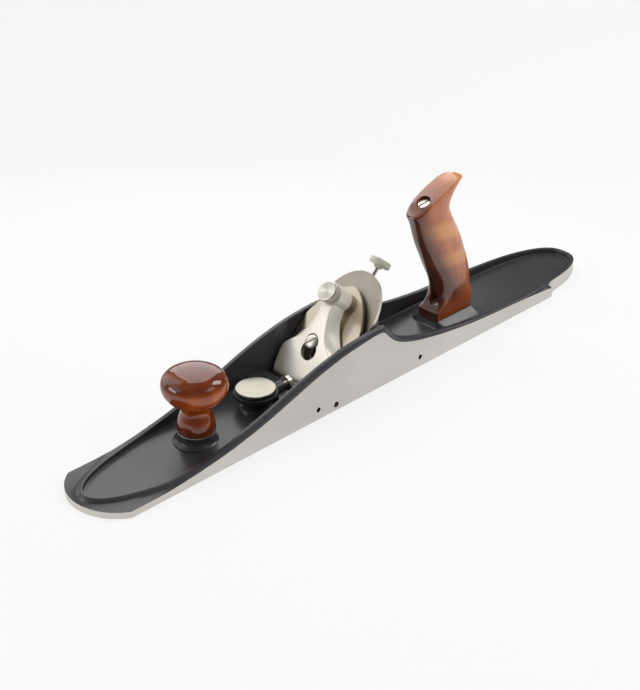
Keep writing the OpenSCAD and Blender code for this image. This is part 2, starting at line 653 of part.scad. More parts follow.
module frog() {
    color([0.16, 0.16, 0.17])
    difference() {
        union() {
            // Foot, seat and bed plate
            intersection() {
                profile(frog_half_width) polygon([[frog_front, 0.3],
                    [bed_point(7, frog_face)[0], 0.3], bed_point(7, frog_face),
                    bed_point(frog_end, frog_face), bed_point(frog_end, plate_back),
                    bed_point(foot_s, plate_back), [seat_rear + 2, foot_top], [seat_rear + 2, seat_top],
                    [frog_front, seat_top]]);
                union() {
                    on_bed() translate([0, 0, -60]) linear_extrude(80) union() {
                        translate([-40, -40]) square([112, 80]);
                        translate([72, 0]) intersection() {
                            translate([-1, -frog_half_width]) square([40, 2 * frog_half_width]);
                            polygon([for (i = [-18:18]) [26 * cos(i * 5), frog_half_width * sin(i * 5)]]);
                        }
                    }
                    translate([-40, -40, 0]) cube([110, 80, foot_top]);
                }
            }
            // Middle rib and side webs
            profile(10) polygon([[seat_rear + 2, foot_top - 1], [40, foot_top - 1],
                bed_point(40, plate_back + 1), bed_point(95, plate_back + 1), bed_point(94, plate_back - 6),
                [seat_rear + 2, 30]]);
            for (y = [-frog_half_width, frog_half_width - 6])
                translate([0, y + 3, 0]) profile(3) polygon([[-8, foot_top - 1], [40, foot_top - 1],
                    bed_point(40, plate_back + 1), bed_point(66, plate_back + 1)]);
        }
        // Channel, pivot bore and spindle slot
        on_bed() {
            translate([channel_low, -channel_half, channel_floor])
                cube([channel_high - channel_low, 2 * channel_half, 20]);
            translate([channel_high - 1, -slot_half, channel_floor]) cube([40, 2 * slot_half, 20]);
            translate([pivot_s, 0, channel_floor]) cylinder(h = 20, r = pivot_radius + running_clearance);
            translate([lever_screw_s, 0, -20]) cylinder(h = 20, r = lever_screw_radius + thread_clearance);
        }
        for (y = [-bolt_y, bolt_y])
            translate([0, y, 0]) cylinder(h = 30, r = frog_bolt_radius + 0.4);
    }
}

module frog_bolts() {
    color([0.18, 0.18, 0.19])
    for (y = [-bolt_y, bolt_y])
        translate([0, y, 0])
            difference() {
                union() {
                    translate([0, 0, 2]) cylinder(h = foot_top - 0.8, r = frog_bolt_radius);
                    translate([0, 0, foot_top + 1.2]) cylinder(h = 6, r = 4.8);
                }
                translate([0, 0, foot_top + 4]) cylinder(h = 8, r = 2.6, $fn = 6);
            }
}

module frog_washers() {
    color([0.70, 0.70, 0.70])
    for (y = [-bolt_y, bolt_y])
        translate([0, y, foot_top])
            difference() {
                cylinder(h = 1.2, r = 5.4);
                translate([0, 0, -1]) cylinder(h = 4, r = frog_bolt_radius + 0.2);
            }
}

// Blade and cap iron

module blade() {
    color([0.62, 0.60, 0.58])
    on_bed()
        difference() {
            translate([0, 0, -blade_thickness]) linear_extrude(blade_thickness)
                polygon(concat([[0, -blade_width / 2], [0, blade_width / 2]],
                    [for (i = [18:-1:-18]) [blade_length - 40 + 40 * cos(i * 5), blade_width / 2 * sin(i * 5)]]));
            profile(50) polygon([[-1, 0.01], [0, 0], [bevel_run, -blade_thickness],
                [bevel_run, -blade_thickness - 1], [-1, -blade_thickness - 1]]);
            translate([0, 0, -10]) linear_extrude(20) slot2d(37, 50, 5.5);
            translate([cap_screw_s, 0, -10]) cylinder(h = 20, r = 2.5 + 0.2);
            translate([pin_s, 0, -10]) cylinder(h = 20, r = pin_radius + running_clearance);
        }
}

cap_scale = blade_width / 60.3;
cap_outline = [for (p = [[0, 30.15], [55, 30.15], [62, 29.6], [68, 28], [74, 25.2], [80, 22],
    [85, 18.7], [90, 14.6], [94, 10.4], [97, 5.8], [98.6, 2.4], [99, 0]]) [p[0], p[1] * cap_scale]];

module cap_iron() {
    color([0.62, 0.60, 0.58])
    on_bed()
        difference() {
            union() {
                intersection() {
                    profile(40) polygon([[1, 0], [1.8, 0], [6, 1.1], [10, 2.2], [14, cap_under],
                        [99, cap_under], [99, cap_upper], [9.2, cap_upper], [6.5, 5.4], [4, 3.7], [1, 0.3]]);
                    translate([0, 0, -5]) linear_extrude(20) polygon(concat(cap_outline,
                        [for (i = [len(cap_outline) - 2:-1:0]) [cap_outline[i][0], -cap_outline[i][1]]]));
                }
                translate([cap_screw_s, 0, 0]) cylinder(h = cap_under + 1, r = 7.5);
            }
            translate([0, 0, -10]) linear_extrude(30) slot2d(37, 50, 4.2);
            translate([cap_screw_s, 0, -10]) cylinder(h = 30, r = 2.5 + thread_clearance);
        }
}

cap_head = 2;

module cap_iron_screw() {
    color([0.66, 0.64, 0.60])
    on_bed() translate([cap_screw_s, 0, 0])
        difference() {
            union() {
                translate([0, 0, -blade_thickness]) cylinder(h = blade_thickness + 5.8, r = 2.5);
                translate([0, 0, -blade_thickness - cap_head]) cylinder(h = cap_head, r = 5.6);
            }
            translate([-7, -0.6, -blade_thickness - cap_head - 1]) cube([14, 1.2, 2]);
        }
}

// Lever cap: [s, half width of the top, half width of the base, top height, base height, hollow]
lever_table = [[9.4, 26.4, 27.2, 7.6, 6.2, 0], [10.2, 27.2, 28, 8.8, 6.2, 0],
    [11.4, 27.8, 28.6, 9.8, 6.2, 0], [13.6, 28.3, 29, 10.6, 6.6, 0.2],
    [17, 28.6, 29.3, 11.5, 7, 1], [22, 28.8, 29.5, 12.7, 7.2, 1], [27, 28.7, 29.5, 13.95, 7.3, 1],
    [31, 28, 29.3, 14.95, 7.4, 1], [33.5, 26.8, 28.9, 15.6, 7.5, 1], [36, 24.8, 28.2, 16.2, 7.6, 1],
    [38.5, 22, 27.2, 16.8, 7.7, 1], [41, 18.6, 25.8, 17.45, 7.8, 1], [44, 15, 24, 18.2, 7.9, 1],
    [48, 12, 21.6, 19.2, 8, 1], [52, 10.3, 18.4, 20.2, 8.1, 1], [56, 9, 15.2, 21.1, 8.3, 1],
    [61, 7.7, 11.7, 22.3, 8.8, 0.8], [66, 6.8, 9.4, 23.4, 9.6, 0.3], [71, 6.5, 8.2, 24.4, 10.4, 0],
    [76, 6.5, 7.6, 25, 11, 0], [83, 6.4, 7.2, 25.4, 11.2, 0]];
lever_scale = blade_width / 60.3;
function lever_at(s, k) = curve(column(lever_table, k), s);
lever_stations = [9.4, 9.8, 10.2, 10.8, 11.4, 12.4, 13.6, 15.2, 17, 19.5, 22, 25, 28, 30.5, 32.5,
    34.2, 36, 37.8, 39.6, 41.4, 43.4, 45.6, 48, 50.5, 53, 56, 59, 62, 66, 70, 75, 83];
function lever_ring(s) = let (t = lever_at(s, 1) * lever_scale, b = lever_at(s, 2) * lever_scale,
    top = lever_at(s, 3), low = lever_at(s, 4), deep = lever_at(s, 5),
    roof = mix(low + 0.02, top - 4.2, deep), wall = min(4, b * 0.45),
    half_ring = [[b, low], [mix(t, b, 0.86), mix(low, top, 0.25)], [mix(t, b, 0.4), mix(low, top, 0.62)],
        [t + 0.15, top - 1.3], [t - 0.35, top - 0.45], [t - 1.3, top - 0.05], [t * 0.55, top + 0.1]],
    inner = [[t * 0.35 - 0.6, roof], [max(t - 4.4, t * 0.5), roof - 0.01], [b - wall, low]])
    concat([for (p = half_ring) [s, p[0], p[1]]], [[s, 0, top + 0.15]],
        [for (i = [6:-1:0]) [s, -half_ring[i][0], half_ring[i][1]]],
        [for (i = [2:-1:0]) [s, -inner[i][0], inner[i][1]]],
        [for (i = [0:2]) [s, inner[i][0], inner[i][1]]]);

// Open rings of a channel section, closed at both ends by strips
module channel_loft(rings) {
    m = len(rings[0]);
    count = len(rings);
    points = [for (r = rings) for (p = r) p];
    walls = [for (j = [0:count - 2]) for (i = [0:m - 1])
        let (a = j * m + i, b = j * m + (i + 1) % m, c = a + m, d = b + m)
        each [[a, c, d], [a, d, b]]];
    // Each end is a band between the outer and the inner half rings
    strip = [[0, 1, 20], [1, 2, 20], [2, 19, 20], [2, 3, 19], [3, 4, 19], [4, 5, 19], [5, 6, 19],
        [6, 18, 19], [6, 7, 18], [7, 17, 18], [7, 8, 17], [8, 16, 17], [8, 9, 16], [9, 10, 16],
        [10, 11, 16], [11, 12, 16], [12, 15, 16], [12, 13, 15], [13, 14, 15]];
    far = (count - 1) * m;
    polyhedron(points = points, faces = concat(walls, strip,
        [for (f = strip) [far + f[0], far + f[2], far + f[1]]]), convexity = 8);
}

module lever_cap() {
    color([0.84, 0.81, 0.74])
    on_bed()
        difference() {
            union() {
                channel_loft([for (s = lever_stations) lever_ring(s)]);
                translate([clamp_s, 0, barrel_low]) cylinder(h = barrel_top - barrel_low, r = barrel_radius);
            }
            translate([keyhole_s, 0, 0]) cylinder(h = 40, r = keyhole_radius);
            translate([keyhole_s, -lever_slot_half, 0]) cube([lever_screw_s - keyhole_s, 2 * lever_slot_half, 40]);
            translate([lever_screw_s, 0, 0]) cylinder(h = 40, r = lever_slot_half);
            translate([lever_screw_s, 0, spot_h]) cylinder(h = 20, r = 6.6);
            translate([clamp_s, 0, 0]) cylinder(h = 40, r = clamp_radius + running_clearance);
        }
}

module lever_cap_screw() {
    color([0.82, 0.79, 0.70])
    on_bed() translate([lever_screw_s, 0, 0])
        difference() {
            union() {
                translate([0, 0, -16]) cylinder(h = spot_h + 16.1, r = lever_screw_radius);
                translate([0, 0, spot_h]) rotate_extrude() polygon([[0, 0], [6, 0], [6, 1.2], [5.8, 1.8],
                    [5.1, 2.4], [3.9, 2.9], [2, 3.2], [0, 3.3]]);
            }
            rotate([0, 0, lever_screw_turn]) translate([-7, -0.7, spot_h + 1.7]) cube([14, 1.4, 4]);
        }
}

module clamp_screw() {
    color([0.84, 0.82, 0.78])
    on_bed() translate([clamp_s, 0, 0])
        union() {
            translate([0, 0, pad_top]) cylinder(h = 26.6 - pad_top, r = clamp_radius);
            translate([0, 0, pad_pocket]) cylinder(h = pad_top - pad_pocket + 1, r = clamp_tip_radius);
            rotate_extrude() polygon([[0, 26.4], [5.4, 26.4], [5.4, 27.5], [8.3, 27.8], [8.75, 28.3],
                [8.75, 32.7], [8.3, 33.3], [7.6, 33.6], [0, 33.6]]);
        }
}

module clamp_pad() {
    color([0.80, 0.77, 0.70])
    on_bed() translate([clamp_s, 0, 0])
        difference() {
            translate([0, 0, cap_upper]) cylinder(h = pad_top - cap_upper, r = 5.8);
            translate([0, 0, pad_pocket]) cylinder(h = 4, r = clamp_tip_radius + running_clearance);
        }
}

// Adjuster

module along_spindle(s) {
    on_bed() translate([s, 0, spindle_h]) rotate([0, 90, 0]) children();
}

module adjuster_pivot() {
    color([0.75, 0.62, 0.32])
    difference() {
        on_bed() translate([pivot_s, 0, channel_floor + 0.2])
            cylinder(h = frog_face - channel_floor - 0.4, r = pivot_radius);
        along_spindle(pivot_s - 20) cylinder(h = 40, r = spindle_radius + running_clearance);
    }
}

module adjuster_spindle() {
    color([0.80, 0.78, 0.74])
    along_spindle(spindle_start) cylinder(h = knob_s + 3.6 - spindle_start, r = spindle_radius);
}

module adjuster_knob() {
    color([0.84, 0.82, 0.76])
    difference() {
        along_spindle(knob_s)
            rotate_extrude() polygon([[0, -2.4], [3.2, -2.4], [3.6, -0.4], [adjuster_knob_radius - 0.6, 0],
                [adjuster_knob_radius, 0.6], [adjuster_knob_radius, 4.2], [adjuster_knob_radius - 0.6, 4.8],
                [0, 4.8]]);
        along_spindle(knob_s - 5) cylinder(h = 8.6, r = spindle_radius + thread_clearance);
    }
}

module spindle_collars() {
    color([0.78, 0.66, 0.36])
    for (s = [pivot_s - pivot_radius - 1.9, pivot_s + pivot_radius + 0.4])
        along_spindle(s)
            difference() {
                cylinder(h = 1.5, r = collar_radius);
                translate([0, 0, -1]) cylinder(h = 4, r = spindle_radius + thread_clearance);
            }
}

module adjuster_carriage() {
    color([0.75, 0.62, 0.32])
    difference() {
        on_bed() translate([pin_s - 4.6, -4.8, spindle_h - 4.2]) cube([9.2, 9.6, 8.2]);
        along_spindle(pin_s - 20) cylinder(h = 40, r = spindle_radius + running_clearance);
        on_bed() translate([pin_s, 0, spindle_h + 2.6]) cylinder(h = 10, r = pin_radius + thread_clearance);
    }
}

module carriage_pin() {
    color([0.80, 0.78, 0.74])
    on_bed() translate([pin_s, 0, spindle_h + 2.6]) cylinder(h = 1.2 - spindle_h - 2.6, r = pin_radius);
}

module set_screw() {
    difference() {
        translate([set_screw_x, set_screw_tip, set_screw_z]) rotate([-90, 0, 0])
            cylinder(h = half - 0.4 - set_screw_tip, r = set_screw_radius);
        translate([set_screw_x - 4, half - 1.9, set_screw_z - 0.4]) cube([8, 4, 0.8]);
    }
}

module left_set_screw() {
    color([0.34, 0.34, 0.34]) set_screw();
}

module right_set_screw() {
    color([0.34, 0.34, 0.34]) mirror([0, 1, 0]) set_screw();
}

plane_body();
toe_plate();
toe_lock_washer();
toe_lock_knob();
toe_stop_screw();
front_knob();
knob_ring();
knob_insert();
knob_stud();
rear_handle();
handle_rod();
handle_nut();
handle_toe_screw();
frog();
frog_bolts();
frog_washers();
blade();
cap_iron();
cap_iron_screw();
lever_cap();
lever_cap_screw();
clamp_screw();
clamp_pad();
adjuster_pivot();
adjuster_spindle();
adjuster_knob();
spindle_collars();
adjuster_carriage();
carriage_pin();
left_set_screw();
right_set_screw();
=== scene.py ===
# Jointer plane on a pale studio floor, in metres.
import math

import bpy
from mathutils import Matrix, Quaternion, Vector


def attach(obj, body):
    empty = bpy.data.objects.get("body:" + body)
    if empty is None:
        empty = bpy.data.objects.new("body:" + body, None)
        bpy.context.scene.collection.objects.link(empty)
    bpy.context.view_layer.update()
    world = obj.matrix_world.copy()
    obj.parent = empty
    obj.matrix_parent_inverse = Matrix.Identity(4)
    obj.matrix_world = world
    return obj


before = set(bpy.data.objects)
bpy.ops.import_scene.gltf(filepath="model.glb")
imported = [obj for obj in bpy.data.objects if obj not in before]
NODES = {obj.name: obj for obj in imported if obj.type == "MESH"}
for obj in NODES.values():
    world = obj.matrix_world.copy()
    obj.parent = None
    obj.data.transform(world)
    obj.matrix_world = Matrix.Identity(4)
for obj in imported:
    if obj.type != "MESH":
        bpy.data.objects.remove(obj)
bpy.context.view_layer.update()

# Camera, worked out from the sole's length and the outline of the rims
CAMERA_AZIMUTH = 44.54
CAMERA_ELEVATION = 29.19
CAMERA_DISTANCE = 1.4572
CAMERA_TARGET = Vector((0.02435, -0.00852, 0.030))
CAMERA_ROLL = -0.59
CAMERA_FOCAL_PIXELS = 1823.2
IMAGE_WIDTH = 640
SENSOR = 36.0


def new_material(name):
    material = bpy.data.materials.new(name)
    material.use_nodes = True
    tree = material.node_tree
    tree.nodes.clear()
    output = tree.nodes.new("ShaderNodeOutputMaterial")
    shader = tree.nodes.new("ShaderNodeBsdfPrincipled")
    tree.links.new(shader.outputs["BSDF"], output.inputs["Surface"])
    return material, tree, shader


def add(tree, kind, **values):
    """A shader node with its plain settings and its socket values."""
    made = tree.nodes.new(kind)
    for key, value in values.items():
        if hasattr(made, key):
            setattr(made, key, value)
        else:
            made.inputs[key.replace("_", " ")].default_value = value
    return made


def ramp(tree, source, stops):
    made = tree.nodes.new("ShaderNodeValToRGB")
    tree.links.new(source, made.inputs["Fac"])
    elements = made.color_ramp.elements
    while len(elements) < len(stops):
        elements.new(0.5)
    for element, (place, colour) in zip(elements, stops):
        element.position = place
        element.color = (*colour, 1) if len(colour) == 3 else colour
    return made.outputs["Color"]


def value_range(tree, source, low, high, start=0.0, end=1.0):
    made = add(tree, "ShaderNodeMapRange", clamp=True)
    made.inputs["From Min"].default_value = start
    made.inputs["From Max"].default_value = end
    made.inputs["To Min"].default_value = low
    made.inputs["To Max"].default_value = high
    tree.links.new(source, made.inputs["Value"])
    return made.outputs["Result"]


def maths(tree, operation, a, b=None):
    made = add(tree, "ShaderNodeMath", operation=operation)
    for socket, value in zip(made.inputs, (a, b)):
        if value is None:
            continue
        if isinstance(value, (int, float)):
            socket.default_value = value
        else:
            tree.links.new(value, socket)
    return made.outputs["Value"]


def mix_colour(tree, factor, first, second, blend_type="MIX"):
    made = add(tree, "ShaderNodeMix", data_type="RGBA", blend_type=blend_type)
    for socket, value in ((made.inputs[0], factor), (made.inputs[6], first), (made.inputs[7], second)):
        if isinstance(value, tuple):
            socket.default_value = (*value, 1)
        elif isinstance(value, (int, float)):
            socket.default_value = value
        else:
            tree.links.new(value, socket)
    return made.outputs[2]


def place(tree, scale=(1, 1, 1), turn=(0, 0, 0), shift=(0, 0, 0)):
    coords = tree.nodes.new("ShaderNodeTexCoord")
    mapping = tree.nodes.new("ShaderNodeMapping")
    mapping.inputs["Scale"].default_value = scale
    mapping.inputs["Rotation"].default_value = turn
    mapping.inputs["Location"].default_value = shift
    tree.links.new(coords.outputs["Object"], mapping.inputs["Vector"])
    return mapping.outputs["Vector"]


def noise(tree, vector, scale, detail=3.0, roughness=0.5, distortion=0.0):
    made = add(tree, "ShaderNodeTexNoise", Scale=scale, Detail=detail, Roughness=roughness,
               Distortion=distortion)
    tree.links.new(vector, made.inputs["Vector"])
    return made.outputs["Fac"]


def bump(tree, shader, height, distance, strength=1.0):
    made = add(tree, "ShaderNodeBump", Strength=strength, Distance=distance)
    tree.links.new(height, made.inputs["Height"])
    tree.links.new(made.outputs["Normal"], shader.inputs["Normal"])
    return made


def combine(tree, operation, a, b=None):
    """A vector operation on sockets or plain triples."""
    made = add(tree, "ShaderNodeVectorMath", operation=operation)
    for socket, value in zip(made.inputs, (a, b)):
        if value is None:
            continue
        if isinstance(value, tuple):
            socket.default_value = value
        else:
            tree.links.new(value, socket)
    return made.outputs["Value" if operation in ("DOT_PRODUCT", "LENGTH") else "Vector"]


def mix_value(tree, factor, first, second):
    made = add(tree, "ShaderNodeMix", data_type="FLOAT")
    for socket, value in ((made.inputs[0], factor), (made.inputs[2], first), (made.inputs[3], second)):
        if isinstance(value, (int, float)):
            socket.default_value = value
        else:
            tree.links.new(value, socket)
    return made.outputs[0]


def object_point(tree):
    return tree.nodes.new("ShaderNodeTexCoord").outputs["Object"]


def split(tree, vector):
    made = tree.nodes.new("ShaderNodeSeparateXYZ")
    tree.links.new(vector, made.inputs[0])
    return made.outputs


def metal(name, light, dark, roughness, grain=(1, 1, 1), grain_scale=900, grain_depth=2e-6,
          grey_scale=30, speckle=0.15, metallic=1.0):
    """Bare metal: slow change of tone, fine grain that can be drawn out along one axis."""
    material, tree, shader = new_material(name)
    shader.inputs["Metallic"].default_value = metallic
    slow = noise(tree, place(tree), grey_scale, 4, 0.55)
    fine = noise(tree, place(tree, grain), grain_scale, 2, 0.6)
    colour = ramp(tree, slow, [(0.3, dark), (0.7, light)])
    tree.links.new(mix_colour(tree, value_range(tree, fine, 0, speckle, 0.35, 0.65), colour, dark),
                   shader.inputs["Base Color"])
    mixed = maths(tree, "ADD", maths(tree, "MULTIPLY", slow, 0.5), maths(tree, "MULTIPLY", fine, 0.5))
    tree.links.new(value_range(tree, mixed, roughness * 0.85, roughness * 1.2, 0.3, 0.7),
                   shader.inputs["Roughness"])
    bump(tree, shader, fine, grain_depth)
    return material


def painted_edge_highlight(material, face, colour):
    """Painted highlight on the ground edges: faces that don't look along the face's direction get a lighter metal.
    """
    tree = material.node_tree
    shader = next(node for node in tree.nodes if node.bl_idname == "ShaderNodeBsdfPrincipled")
    plain = shader.inputs["Base Color"].links[0].from_socket
    along = combine(tree, "DOT_PRODUCT", tree.nodes.new("ShaderNodeTexCoord").outputs["Normal"], tuple(face))
    edge = maths(tree, "LESS_THAN", maths(tree, "ABSOLUTE", along), 0.6)
    tree.links.new(mix_colour(tree, edge, plain, colour), shader.inputs["Base Color"])
    return material


KNURL_TEETH = 48


def turned(name, light, dark, roughness, centre, axis, dome, anisotropy, painted_shade_below=None, metallic=1.0):
    """Metal turned on a lathe: fine rings round an axis, a slightly domed face, streaks along the rings
    and a knurled rim. Below a given height along the axis it is painted near-black, a painted shade."""
    material, tree, shader = new_material(name)
    axis = tuple(Vector(axis).normalized())
    from_centre = combine(tree, "SUBTRACT", object_point(tree), tuple(centre))
    height = combine(tree, "DOT_PRODUCT", from_centre, axis)
    scaled = add(tree, "ShaderNodeVectorMath", operation="SCALE")
    scaled.inputs[0].default_value = axis
    tree.links.new(height, scaled.inputs["Scale"])
    radial = combine(tree, "SUBTRACT", from_centre, scaled.outputs["Vector"])
    radius = combine(tree, "LENGTH", radial)
    rings = noise_1d(tree, radius, 5200)
    slow = noise(tree, place(tree), 55, 3)
    colour = ramp(tree, mix_value(tree, 0.4, slow, rings), [(0.3, dark), (0.7, light)])
    sheen = value_range(tree, rings, roughness * 0.8, roughness * 1.25, 0.3, 0.7)
    rise = maths(tree, "SUBTRACT", maths(tree, "MULTIPLY", rings, 1.2e-6),
                 maths(tree, "MULTIPLY", maths(tree, "MULTIPLY", radius, radius), dome))
    if painted_shade_below is None:
        shader.inputs["Metallic"].default_value = metallic
    else:
        # Painted shade: below that height the part is painted near-black instead of metal
        black = maths(tree, "LESS_THAN", height, painted_shade_below)
        colour = mix_colour(tree, black, colour, (0.016, 0.015, 0.016))
        sheen = mix_value(tree, black, sheen, 0.5)
        tree.links.new(maths(tree, "SUBTRACT", 1.0, black), shader.inputs["Metallic"])
    first = Vector(axis).orthogonal().normalized()
    second = Vector(axis).cross(first)
    angle = maths(tree, "ARCTAN2", combine(tree, "DOT_PRODUCT", radial, tuple(first)),
                  combine(tree, "DOT_PRODUCT", radial, tuple(second)))
    teeth = maths(tree, "SINE", maths(tree, "MULTIPLY", angle, KNURL_TEETH))
    facing = combine(tree, "DOT_PRODUCT", tree.nodes.new("ShaderNodeTexCoord").outputs["Normal"], axis)
    rim = maths(tree, "LESS_THAN", maths(tree, "ABSOLUTE", facing), 0.4)
    rise = maths(tree, "ADD", rise, maths(tree, "MULTIPLY", maths(tree, "MULTIPLY", teeth, rim), 1.5e-4))
    tree.links.new(colour, shader.inputs["Base Color"])
    tree.links.new(sheen, shader.inputs["Roughness"])
    shader.inputs["Anisotropic"].default_value = anisotropy
    to_world = add(tree, "ShaderNodeVectorTransform", vector_type="VECTOR", convert_from="OBJECT",
                   convert_to="WORLD")
    tree.links.new(combine(tree, "CROSS_PRODUCT", axis, radial), to_world.inputs[0])
    tree.links.new(combine(tree, "NORMALIZE", to_world.outputs[0]), shader.inputs["Tangent"])
    bump(tree, shader, rise, 1.0)
    return material


def noise_1d(tree, value, scale):
    made = add(tree, "ShaderNodeTexNoise", noise_dimensions="1D", Scale=scale, Detail=2.0)
    tree.links.new(value, made.inputs["W"])
    return made.outputs["Fac"]


def body_material():
    """Satin enamel inside and on the rounded rims, ground metal on the flat sides, toe and heel."""
    material, tree, shader = new_material("enamelled_body")
    coords = tree.nodes.new("ShaderNodeTexCoord")
    x, y, z = split(tree, coords.outputs["Object"])
    normal_x, normal_y, normal_z = split(tree, coords.outputs["Normal"])
    across = maths(tree, "ABSOLUTE", y)
    steepness = maths(tree, "ABSOLUTE", normal_z)
    on_side = maths(tree, "GREATER_THAN", across, 0.03644)
    on_sole = maths(tree, "LESS_THAN", z, 0.0001)
    low_toe = maths(tree, "MULTIPLY", maths(tree, "MULTIPLY", maths(tree, "GREATER_THAN", x, 0.2575),
                                            maths(tree, "LESS_THAN", steepness, 0.2)),
                    maths(tree, "LESS_THAN", z, 0.0053))
    # Outside of the heel: the steep faces that look away from the middle of the heel
    away = maths(tree, "ADD", maths(tree, "MULTIPLY", maths(tree, "ADD", x, 0.19), normal_x),
                 maths(tree, "MULTIPLY", maths(tree, "MULTIPLY", y, 3.0), normal_y))
    heel = maths(tree, "MULTIPLY", maths(tree, "MULTIPLY", maths(tree, "LESS_THAN", x, -0.2137),
                                         maths(tree, "LESS_THAN", steepness, 0.6)),
                 maths(tree, "GREATER_THAN", away, 0.0))
    bare = maths(tree, "MAXIMUM", maths(tree, "MAXIMUM", on_side, on_sole), maths(tree, "MAXIMUM", low_toe, heel))

    vector = place(tree)
    slow = noise(tree, vector, 14, 3)
    fine = noise(tree, vector, 2600, 2)
    grind = noise(tree, place(tree, (0.05, 1, 1)), 1400, 2, 0.6)
    enamel = ramp(tree, slow, [(0.3, ENAMEL_DARK), (0.7, ENAMEL_LIGHT)])
    steel = ramp(tree, noise(tree, vector, 9, 3), [(0.3, (0.66, 0.63, 0.60)), (0.7, (0.74, 0.715, 0.685))])
    tree.links.new(mix_colour(tree, bare, enamel, steel), shader.inputs["Base Color"])
    tree.links.new(bare, shader.inputs["Metallic"])
    tree.links.new(mix_value(tree, bare, value_range(tree, slow, 0.27, 0.34),
                             value_range(tree, grind, 0.46, 0.58)), shader.inputs["Roughness"])
    shader.inputs["Specular IOR Level"].default_value = ENAMEL_GLOSS
    bump(tree, shader, mix_value(tree, bare, fine, grind), 4e-6)
    return material


ENAMEL_DARK = (0.024, 0.023, 0.026)
ENAMEL_LIGHT = (0.036, 0.034, 0.038)
ENAMEL_GLOSS = 0.5


def enamel_material(name, gloss):
    material, tree, shader = new_material(name)
    vector = place(tree)
    slow = noise(tree, vector, 20, 3)
    tree.links.new(ramp(tree, slow, [(0.3, ENAMEL_DARK), (0.7, ENAMEL_LIGHT)]), shader.inputs["Base Color"])
    tree.links.new(value_range(tree, slow, 0.32, 0.42), shader.inputs["Roughness"])
    shader.inputs["Specular IOR Level"].default_value = gloss
    bump(tree, shader, noise(tree, vector, 2400, 2), 6e-6)
    return material


def wood_base(tree, turn, ring_scale, blend, dark, middle, light):
    """Growth layers seen through varnish, with fine pores along the grain."""
    stretched = place(tree, (1, 1, 0.10), turn)
    layers = add(tree, "ShaderNodeTexWave", wave_type="BANDS", bands_direction="X", Scale=ring_scale,
                 Distortion=6.0, Detail=3.0)
    layers.inputs["Detail Scale"].default_value = 1.1
    tree.links.new(stretched, layers.inputs["Vector"])
    cloud = noise(tree, place(tree, (1, 1, 0.35), turn), 38, 3, 0.5, 0.4)
    pores = noise(tree, stretched, 1500, 3, 0.6)
    tone = mix_value(tree, blend, layers.outputs["Fac"], cloud)
    colour = ramp(tree, tone, [(0.15, dark), (0.5, middle), (0.85, light)])
    colour = mix_colour(tree, value_range(tree, pores, 0.35, 0.0, 0.3, 0.5), colour, dark)
    return colour, pores


def varnish(tree, shader, colour, pores, roughness, coat):
    tree.links.new(colour, shader.inputs["Base Color"])
    tree.links.new(value_range(tree, pores, roughness * 1.15, roughness * 0.85), shader.inputs["Roughness"])
    shader.inputs["Specular IOR Level"].default_value = 0.0
    shader.inputs["Coat Weight"].default_value = 1.0
    shader.inputs["Coat IOR"].default_value = 1.62
    shader.inputs["Coat Roughness"].default_value = coat
    bump(tree, shader, pores, 6e-6, 0.5)


def knob_wood():
    material, tree, shader = new_material("knob_wood")
    colour, pores = wood_base(tree, (0, 0, 0), 22, 0.8, (0.15, 0.020, 0.003), (0.30, 0.055, 0.006),
                              (0.50, 0.135, 0.016))
    # End grain on top is darker, and the wood is darker towards the foot
    top = value_range(tree, split(tree, tree.nodes.new("ShaderNodeTexCoord").outputs["Normal"])[2], 0, 0.7, 0.1, 0.6)
    foot = value_range(tree, split(tree, object_point(tree))[2], 0.75, 0, 0.022, 0.030)
    colour = mix_colour(tree, maths(tree, "MAXIMUM", top, foot), colour, (0.060, 0.009, 0.004))
    varnish(tree, shader, colour, pores, 0.42, 0.03)
    return material


